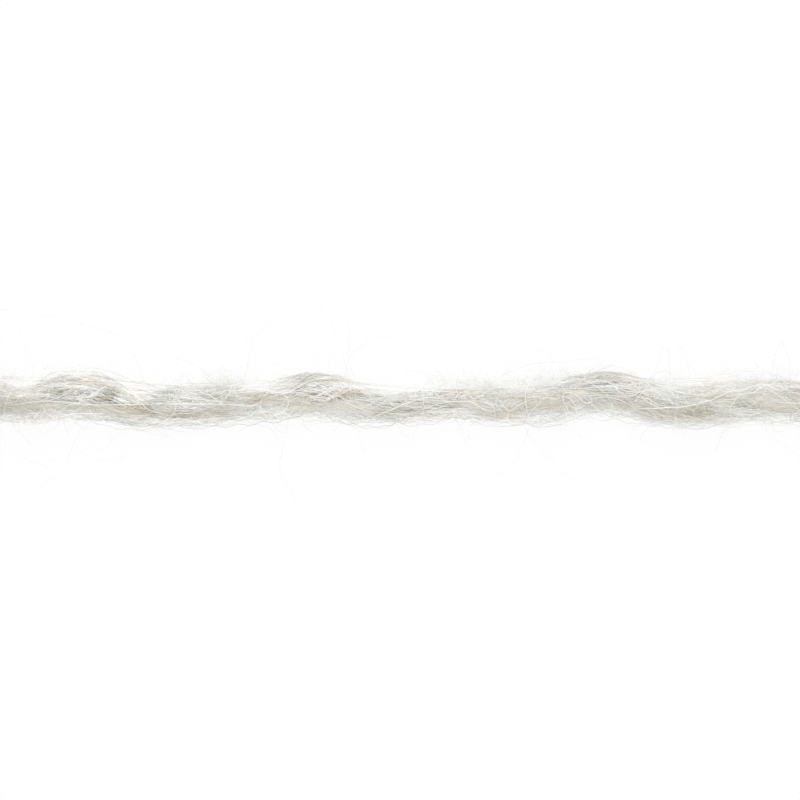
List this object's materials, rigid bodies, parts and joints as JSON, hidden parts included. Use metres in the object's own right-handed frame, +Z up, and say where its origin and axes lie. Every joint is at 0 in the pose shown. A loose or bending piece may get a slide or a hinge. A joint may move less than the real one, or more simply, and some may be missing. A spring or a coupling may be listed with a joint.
{
  "type": "knitting yarn",
  "caption": "Cut length of soft, fuzzy off-white knitting yarn, a silky ply and a woolly ply twisted together, lying straight on a surface.",
  "frame": {"origin": "on the surface that the yarn lies on, under the middle of its box", "axes": "+X along the strand, +Y across it, +Z up from the surface"},
  "size_m": [0.064, 0.0146, 0.0034],
  "materials": {
    "yarn_fibre": "off-white wool and silk fibre, soft and fuzzy with silky glints"
  },
  "bodies": {
    "root": {"yarn_strand": "yarn_fibre"}
  },
  "joints": []
}
